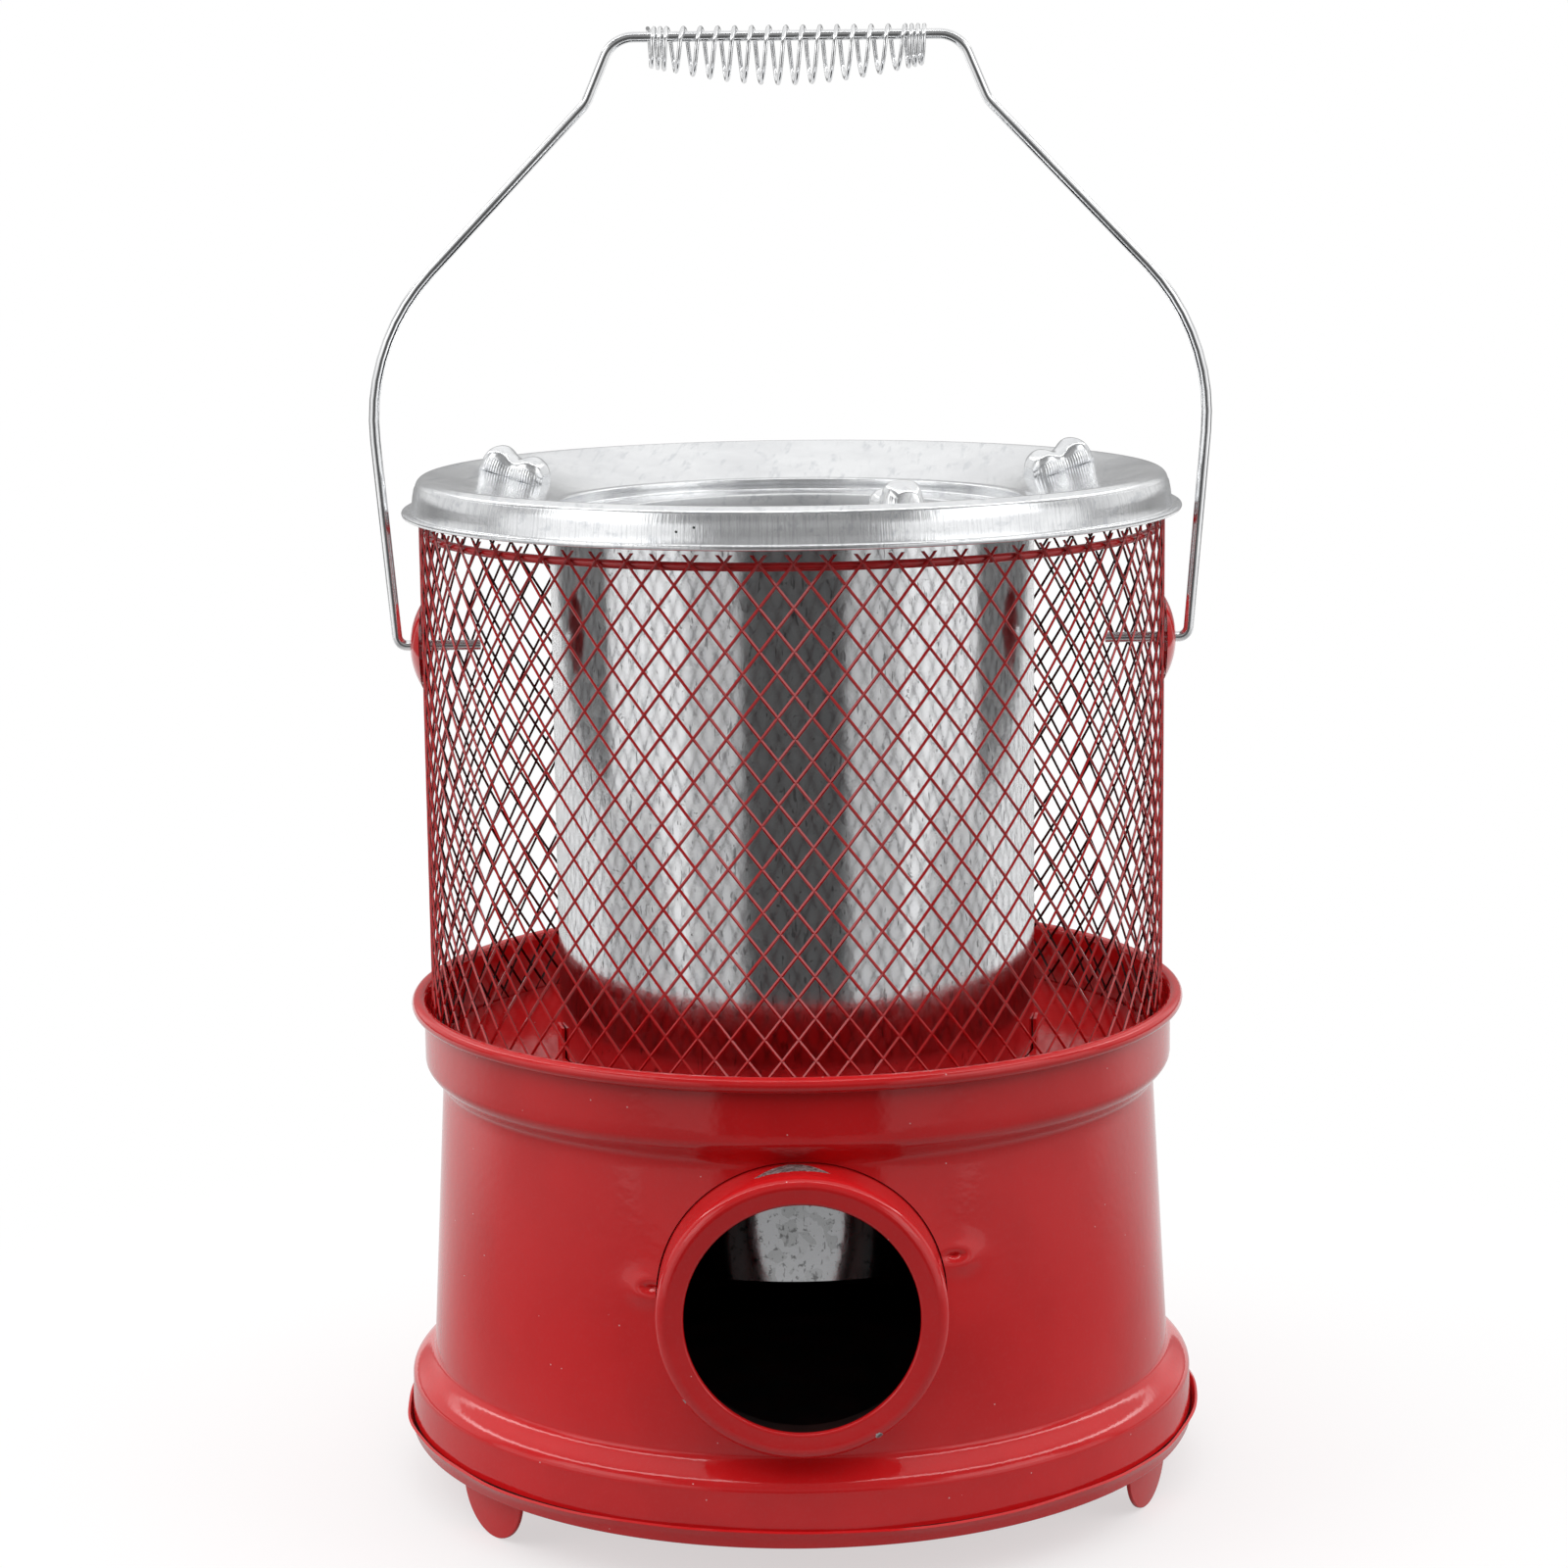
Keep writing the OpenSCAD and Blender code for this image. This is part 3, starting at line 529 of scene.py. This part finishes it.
for turn in (30, 150, 270):
    bpy.ops.object.select_all(action="DESELECT")
    bpy.ops.mesh.primitive_cube_add(size=1, location=(0, 0, 0))
    tab = bpy.context.object
    placed(tab, Matrix.Rotation(math.radians(turn), 4, "Z")
           @ Matrix.Translation((tab_out * MM, 0, tab_z * MM))
           @ Matrix.Diagonal((tab_long * MM, tab_wide * MM, tube_wall * MM, 1)))
    tube.select_set(True)
    bpy.context.view_layer.objects.active = tube
    bpy.ops.object.join()
smoothed(tube)
tube.data.materials.append(tube_zinc)
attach(tube, "stove")
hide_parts("fire_tube")


# Grate: a disc of thick iron, pierced all over. It lies loose on the tube's three tabs and carries the
# charcoal, and the fire has left it dark with scale.
grate_iron, iron = blank_finish("grate_iron")
scale = iron.make("TexCoord", out="Object").noise(160.0, 4.0, 0.65)
iron_bump = iron.make("Bump", {"Strength": 0.4, "Distance": 0.0003, "Height": scale})
iron.skin({"Base Color": scale.ramp(0.3, 0.7).mix((0.055, 0.052, 0.05), (0.10, 0.095, 0.09)),
           "Metallic": 0.8, "Roughness": 0.45 + 0.3 * scale, "Normal": iron_bump})
grate_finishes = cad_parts["grate"].data.materials
grate_finishes.clear()
grate_finishes.append(grate_iron)


# Guard: a sheet of expanded metal, slit and pulled open into diamonds, rolled into a cylinder and dipped red.
# Its strands are cut off just above the last knots and just above the deck, and are darker on the inside.
guard_r, diamonds_round, half_tall = 107.75, 74, 5.85
rows_below, rows_above, pivot_z = 20, 7, 248.822
strand_half, strand_wall, knot_out = 0.37, 0.28, 0.32
guard_top, guard_foot = 286.3, 128.9
# The guard's red is painted darker than the shell's, as painted shade for its thin, curved strands.
guard_paint = red_paint("guard_paint", speck=0.2, peel=0.1, depth=0.78, shine=0.6)
guard_dark = red_paint("guard_dark", speck=0.0, peel=0.1, depth=0.07, shine=0.3)
half_turn = math.pi / diamonds_round
half_wide = guard_r * MM * half_turn
bpy.ops.object.select_all(action="DESELECT")
bpy.ops.mesh.primitive_circle_add(vertices=4, radius=half_wide, fill_type="NGON", location=(0, 0, 0))
diamonds = bpy.context.object
for v in diamonds.data.vertices:
    across, rise = v.co.x / half_wide, v.co.y / half_wide
    v.co = (guard_r * MM * math.cos(half_turn * across), guard_r * MM * math.sin(half_turn * across),
            (pivot_z + half_tall * rise) * MM)
bpy.ops.object.mode_set(mode="EDIT")
bpy.ops.mesh.select_all(action="SELECT")
bpy.ops.mesh.spin(steps=diamonds_round - 1, dupli=True, angle=math.tau - 2 * half_turn,
                  center=(0, 0, 0), axis=(0, 0, 1))
bpy.ops.object.mode_set(mode="OBJECT")
bpy.ops.object.select_all(action="DESELECT")
rows = []
for row in range(-rows_below, rows_above + 1):
    ring = diamonds.copy()
    ring.data = diamonds.data.copy()
    scene.collection.objects.link(ring)
    ring.data.transform(Matrix.Translation((0, 0, row * half_tall * MM))
                        @ Matrix.Rotation(half_turn * (row % 2), 4, "Z"))
    ring.select_set(True)
    rows.append(ring)
bpy.data.objects.remove(diamonds)
guard = rows[0]
bpy.context.view_layer.objects.active = guard
bpy.ops.object.join()
guard.name = "guard_expanded"
bpy.ops.object.mode_set(mode="EDIT")
bpy.ops.mesh.select_all(action="SELECT")
bpy.ops.mesh.remove_doubles(threshold=1e-5)
bpy.ops.mesh.normals_make_consistent(inside=False)
bpy.ops.object.mode_set(mode="OBJECT")
knots = len(guard.data.vertices)
bpy.ops.object.mode_set(mode="EDIT")
bpy.ops.mesh.select_all(action="SELECT")
bpy.ops.mesh.inset(thickness=strand_half * MM, depth=0, use_individual=True, use_even_offset=True)
bpy.ops.mesh.delete(type="FACE")
bpy.ops.object.mode_set(mode="OBJECT")
for v in guard.data.vertices[:knots]:
    moved = 1 + knot_out * MM / math.hypot(v.co.x, v.co.y)
    v.co.x, v.co.y = v.co.x * moved, v.co.y * moved
thickened(guard, strand_wall, 0.0)
bpy.ops.object.mode_set(mode="EDIT")
for cut_z, side in ((guard_top, 1), (guard_foot, -1)):
    bpy.ops.mesh.select_all(action="SELECT")
    bpy.ops.mesh.bisect(plane_co=(0, 0, cut_z * MM), plane_no=(0, 0, side), use_fill=True, clear_outer=True)
bpy.ops.object.mode_set(mode="OBJECT")
smoothed(guard, 30)
guard.data.materials.append(guard_paint)
guard.data.materials.append(guard_dark)
for face in guard.data.polygons:
    if face.normal.x * face.center.x + face.normal.y * face.center.y < -0.3 * guard_r * MM:
        face.material_index = 1
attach(guard, "stove")
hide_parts("guard_mesh")


# Hoop: a rod bent into a ring inside the top of the guard, butt-welded and dipped with it. It keeps the cut
# edge of the mesh round.
hoop_r, hoop_z, rod_r = 105.8, 282.93, 1.2
weld_turn, weld_half, weld_swell = 75, 1.6, 0.22
bpy.ops.object.select_all(action="DESELECT")
bpy.ops.mesh.primitive_torus_add(major_radius=hoop_r * MM, minor_radius=rod_r * MM, major_segments=220,
                                 minor_segments=14, location=(0, 0, hoop_z * MM))
hoop = bpy.context.object
hoop.name = "guard_hoop_rod"
bpy.ops.object.transform_apply(location=True, rotation=True, scale=True)
for v in hoop.data.vertices:
    r = math.hypot(v.co.x, v.co.y)
    from_weld = (math.atan2(v.co.y, v.co.x) - math.radians(weld_turn)) * hoop_r
    bead = 1 + weld_swell * math.exp(-(from_weld / weld_half) ** 2)
    out, rise = r / MM - hoop_r, v.co.z / MM - hoop_z
    moved = (hoop_r + out * bead) * MM / r
    v.co.x, v.co.y, v.co.z = v.co.x * moved, v.co.y * moved, (hoop_z + rise * bead) * MM
smoothed(hoop)
hoop.data.materials.append(shell_paint)
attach(hoop, "stove")
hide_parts("guard_hoop")


# Ears: two domed washers pressed from sheet and dipped red, which sit on the outside of the guard. They are
# holed in the middle for the ends of the bail.
ear_r, ear_rise, ear_hole_r, ear_out = 12.5, 3.6, 1.58, 108.5
ball = (ear_r ** 2 + ear_rise ** 2) / (2 * ear_rise)
ear_rim, ear_hole = (math.degrees(math.asin(r / ball)) for r in (ear_r, ear_hole_r))
for node, turn in (("ear_right", 0), ("ear_left", 180)):
    ear = turned(node + "_dome", arc(0, ear_rise - ball, ball, 90 - ear_rim, 90 - ear_hole, 18), 72)
    thickened(ear, red_wall)
    bpy.ops.object.mode_set(mode="EDIT")
    bpy.ops.mesh.select_all(action="SELECT")
    bpy.ops.mesh.bisect(plane_co=(0, 0, 0), plane_no=(0, 0, -1), use_fill=True, clear_outer=True)
    bpy.ops.object.mode_set(mode="OBJECT")
    placed(ear, Matrix.Rotation(math.radians(turn), 4, "Z")
           @ Matrix.Translation((ear_out * MM, 0, pivot_z * MM)) @ Matrix.Rotation(math.radians(90), 4, "Y"))
    smoothed(ear)
    ear.data.materials.append(shell_paint)
    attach(ear, "stove")
    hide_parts(node)


# Lid: a ring pressed from bright zinc-coated sheet, with a rolled hem, an upright skirt, a rounded crest, a
# slope down to the step that drops into the tube, and a lip round the open mouth. Rolling leaves slanting
# marks on the sheet, and pressing leaves drag marks up its skirt.
lid_wall, hem_r, crest_r = 0.6, 0.9, 3.0
hem, crest = (112.2, 288.7), (106.0, 296.0)
slope_top, slope_foot = (105.27, 298.91), (72.5, 290.55)
step_r, step_z, mouth_r, corner = 68.7, 286.8, 55.0, 0.6
skirt_r, dull_z = 108.8, 286.6
specks, speck_r = ((-30.7, 292.5), (-26.0, 293.7)), 0.36


def lid_sheet(name, ribs):
    """Bright pressed sheet: clouded gloss, slanting rolling marks, and drag marks and specks on the skirt.
    Ribs are the fine waves that pressing leaves on the sides of the pot rests."""
    dull, bright = (0.76, 0.77, 0.785), (0.88, 0.89, 0.90)
    rolled_grey, drag_grey, speck_dark = (0.58, 0.60, 0.63), (0.52, 0.53, 0.55), (0.05, 0.05, 0.05)
    material, metal = blank_finish(name)
    spot = metal.make("TexCoord", out="Object")
    axes = metal.make("SeparateXYZ", {0: spot})
    x, y, z = (axes.other(axis) for axis in "XYZ")
    round_it = metal.math("ARCTAN2", y, x)
    drag = metal.make("CombineXYZ", {0: round_it * 0.11, 1: 0.0, 2: z * 0.05}).noise(1300.0, 3.0, 0.6)
    slant = metal.make("Mapping", {"Vector": spot, "Rotation": (0.0, 0.0, -0.14), "Scale": (1.0, 14.0, 1.0)},
                       vector_type="TEXTURE")
    rolled = slant.noise(320.0, 4.0, 0.65)
    cloud = spot.noise(45.0, 5.0, 0.6)
    skirt = x * x + y * y > (skirt_r * MM) ** 2
    tone = cloud.ramp(0.3, 0.7).mix(dull, bright)
    tone = (0.55 * rolled.ramp(0.52, 0.70)).mix(tone, rolled_grey)
    tone = (0.40 * skirt * drag.ramp(0.45, 0.70)).mix(tone, drag_grey)
    for speck_x, speck_z in specks:
        off_x, off_z = x - speck_x * MM, z - speck_z * MM
        speck = (off_x * off_x + off_z * off_z < (speck_r * MM) ** 2) * skirt * (y < 0.0)
        tone = speck.mix(tone, speck_dark)
    gloss = 0.10 + 0.10 * cloud + 0.08 * rolled + 0.35 * (z < dull_z * MM)
    height = 0.7 * drag * skirt + 0.5 * cloud + 0.6 * rolled
    if ribs:
        along = metal.make("Attribute", out="Fac", attribute_name="along")
        side = metal.make("Attribute", out="Fac", attribute_name="side")
        height = height + side * metal.math("SINE", along * 7600.0 + 9.0 * cloud)
    bump = metal.make("Bump", {"Strength": 0.22, "Distance": 0.0003, "Height": height})
    metal.skin({"Base Color": tone, "Metallic": 0.86, "Roughness": gloss, "Normal": bump})
    return material


lid_section = (arc(*hem, hem_r, -150, 90, 12)[:-1] + [(112.0, 289.3), (111.2, 289.05)]
               + arc(110.9, 289.5, 0.5, -90, -172, 3)
               + [(110.05, 291.5), (109.8, 293.5), (109.4, 295.6)]
               + arc(*crest, crest_r, 8, 104, 9)
               + straight(slope_top, slope_foot, 14)[1:]
               + arc(71.5, 291.0, 0.7, -75, -90, 2)[:-1] + [(70.4, 290.3)]
               + arc(step_r + corner, 289.7, corner, 90, 180, 4) + [(step_r, 288.0)]
               + arc(step_r - corner, step_z + corner, corner, 0, -90, 4)
               + [(r, step_z) for r in (66.0, 62.0, 58.0)]
               + arc(mouth_r + corner, step_z - corner, corner, 90, 180, 4)
               + [(mouth_r, 284.0), (mouth_r, 281.8)])
lid = turned("lid_cover_pressed", lid_section, 320)
thickened(lid, lid_wall)
smoothed(lid)
lid.data.materials.append(lid_sheet("lid_bright", False))
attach(lid, "lid")
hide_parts("lid_cover")


# Pot rests: three humps pressed up from the lid's own sheet, each with two rounded lobes and a saddle between
# them. The sheet is slit along the foot of both sides so that it can rise, and the faces in the slits are
# painted near black as painted shade.
rest_long, rest_wide, rest_sunk, rest_out = 10.8, 5.2, 1.2, 90.0
lobe_top, saddle_top, end_top = 8.0, 5.5, 1.8
lobe_at, end_run, inner_drop, waist, end_taper = 0.5, 0.53, 0.14, 0.14, 0.50
crown, side_bulge, foot_tuck = 0.42, 0.10, 0.86
slit_rise, slit_reach, ribs_foot, ribs_top = 0.22, 0.84, 0.25, 0.9
ring_in, ring_in_z, ring_out, ring_rise = 71.5, 290.3, 106.0, 8.7
slope = math.atan2(ring_rise, ring_out - ring_in)


def rest_point(along, across, rise):
    """A point of a pot rest, from its place along and across it, -1 to 1, and its share of the height."""
    past = max(0.0, abs(along) - lobe_at) / end_run
    if abs(along) < lobe_at:
        ridge = (lobe_top + saddle_top) / 2 - (lobe_top - saddle_top) / 2 * math.cos(math.tau * along)
    else:
        ridge = end_top + (lobe_top - end_top) * math.sqrt(1 - past ** 2)
    ridge *= 1 - inner_drop * max(0.0, -along)
    rounded = ridge * (1 - crown + crown * math.sqrt(1 - abs(across) ** 2.6))
    pinch = 1 - waist * math.exp(-(along / 0.25) ** 2) - end_taper * past ** 3
    bulge = 1 + side_bulge * math.sin(math.pi * min(1.0, rise * 1.1))
    tucked = foot_tuck if rise < slit_rise and abs(along) < slit_reach else 1.0
    return (along * rest_long * (1 - 0.05 * rise), across * rest_wide * pinch * bulge * tucked,
            -rest_sunk + rise * (rounded + rest_sunk))


rest_bright = lid_sheet("rest_bright", True)
# Painted shade: a near-black finish for the faces in the slits, where the gap under the sheet is in shade.
slit_painted_shade, slit = blank_finish("slit_painted_shade")
slit_shade_mottle = slit.make("TexCoord", out="Object").noise(300.0, 2.0)
slit.skin({"Base Color": slit_shade_mottle.ramp(0.3, 0.7).mix((0.012, 0.012, 0.012), (0.035, 0.034, 0.033)),
           "Roughness": 0.6 + 0.2 * slit_shade_mottle})
for number, turn in enumerate((157, 26, -72), 1):
    bpy.ops.object.select_all(action="DESELECT")
    bpy.ops.mesh.primitive_cube_add(size=2, location=(0, 0, 0))
    rest = bpy.context.object
    rest.name = "pot_rest_%d" % number
    rest.data.materials.append(rest_bright)
    rest.data.materials.append(slit_painted_shade)
    bpy.ops.object.mode_set(mode="EDIT")
    bpy.ops.mesh.select_all(action="SELECT")
    bpy.ops.mesh.subdivide(number_cuts=19)
    bpy.ops.object.mode_set(mode="OBJECT")
    for face in rest.data.polygons:
        low = (face.center.z + 1) / 2 < slit_rise
        if low and abs(face.center.x) < slit_reach and abs(face.normal.y) > 0.5:
            face.material_index = 1
    side = rest.data.attributes.new("side", "FLOAT", "POINT")
    along = rest.data.attributes.new("along", "FLOAT", "POINT")
    for v in rest.data.vertices:
        place, across, rise = v.co.x, v.co.y, (v.co.z + 1) / 2
        side.data[v.index].value = 1.0 if abs(across) > 0.99 and ribs_foot < rise < ribs_top else 0.0
        along.data[v.index].value = place * rest_long * MM
        v.co = rest_point(place, across, rise)
    bpy.ops.object.modifier_add(type="SUBSURF")
    rest.modifiers[-1].levels = rest.modifiers[-1].render_levels = 1
    bpy.ops.object.modifier_apply(modifier=rest.modifiers[-1].name)
    rest_z = ring_in_z + (rest_out - ring_in) * math.tan(slope)
    placed(rest, Matrix.Rotation(math.radians(turn), 4, "Z")
           @ Matrix.Translation((rest_out * MM, 0, rest_z * MM))
           @ Matrix.Rotation(-slope, 4, "Y") @ Matrix.Scale(MM, 4))
    smoothed(rest, 60)
    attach(rest, "lid")


# Bail: one length of bright drawn wire, bent cold, with its ends turned in through the ears. Drawing leaves
# fine marks and duller patches on it.
bail_wire, bar_z = 3.0, pivot_z + 174.0
corners = [(91.5, pivot_z), (115.7, pivot_z), (122.8, pivot_z + 88.0), (57.4, pivot_z + 155.6), (49.5, bar_z)]
bends = [0, 3, 62, 10, 9]
bail_bright, metal = blank_finish("bail_bright")
wire_spot = metal.make("TexCoord", out="Object")
wire_cloud = wire_spot.noise(90.0, 3.0)
wire_bump = metal.make("Bump", {"Strength": 0.1, "Distance": 0.0001, "Height": wire_spot.noise(1500.0, 2.0)})
metal.skin({"Base Color": wire_cloud.ramp(0.3, 0.7).mix((0.74, 0.745, 0.755), (0.88, 0.885, 0.89)),
            "Metallic": 1.0, "Roughness": 0.10 + 0.12 * wire_cloud, "Normal": wire_bump})


def drawn_wire(name, points, wide, sides):
    """A wire along points, with round cut ends."""
    line = bpy.data.curves.new(name, "CURVE")
    line.dimensions = "3D"
    line.bevel_depth, line.bevel_resolution, line.use_fill_caps = wide / 2 * MM, sides, True
    spline = line.splines.new("POLY")
    spline.points.add(len(points) - 1)
    for spline_point, point in zip(spline.points, points):
        spline_point.co = (*(point * MM), 1.0)
    wire = bpy.data.objects.new(name, line)
    scene.collection.objects.link(wire)
    bpy.ops.object.select_all(action="DESELECT")
    wire.select_set(True)
    bpy.context.view_layer.objects.active = wire
    bpy.ops.object.convert(target="MESH")
    wire = bpy.context.object
    bpy.ops.object.mode_set(mode="EDIT")
    bpy.ops.mesh.select_all(action="SELECT")
    bpy.ops.mesh.remove_doubles(threshold=1e-7)
    bpy.ops.mesh.normals_make_consistent(inside=False)
    bpy.ops.object.mode_set(mode="OBJECT")
    return wire


corners += [(-x, z) for x, z in reversed(corners)]
bends += list(reversed(bends))
corners = [Vector((x, 0, z)) for x, z in corners]
path = [corners[0]]
for before, corner, after, bend in zip(corners, corners[1:], corners[2:], bends[1:]):
    into, away = (corner - before).normalized(), (after - corner).normalized()
    bent_by = into.angle(away)
    centre = corner + (away - into).normalized() * (bend / math.cos(bent_by / 2))
    start = corner - into * (bend * math.tan(bent_by / 2)) - centre
    axis = into.cross(away).normalized()
    steps = max(6, int(math.degrees(bent_by) / 5))
    path += [centre + Matrix.Rotation(bent_by * i / steps, 3, axis) @ start for i in range(steps + 1)]
path.append(corners[-1])
bail = drawn_wire("bail_wire_bent", path, bail_wire, 5)
smoothed(bail, 50)
bail.data.materials.append(bail_bright)
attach(bail, "bail")
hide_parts("bail_wire")


# Spring grip: a barrel spring of thin bright wire slipped over the bail, close-wound at both ends. It hangs
# from the bail by the tops of its turns.
spring_long, spring_wire, end_r, belly = 80.0, 1.2, 5.2, 2.7
close_turns, open_turns, close_pitch, turn_points = 3, 14, 1.8, 24
open_pitch = (spring_long - spring_wire - 2 * close_turns * close_pitch) / open_turns
top_z = bar_z + 2.4
coil = []
for i in range((open_turns + 2 * close_turns) * turn_points + 1):
    turns = i / turn_points
    opened = max(0, min(turns - close_turns, open_turns))
    x = (spring_wire - spring_long) / 2 + (turns - opened) * close_pitch + opened * open_pitch
    r = end_r + belly * math.cos(math.pi * x / spring_long)
    coil.append(Vector((x, r * math.sin(math.tau * turns), top_z - r + r * math.cos(math.tau * turns))))
spring = drawn_wire("grip_spring_coil", coil, spring_wire, 2)
smoothed(spring, 60)
spring.data.materials.append(bail_bright)
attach(spring, "grip")
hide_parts("grip_spring")
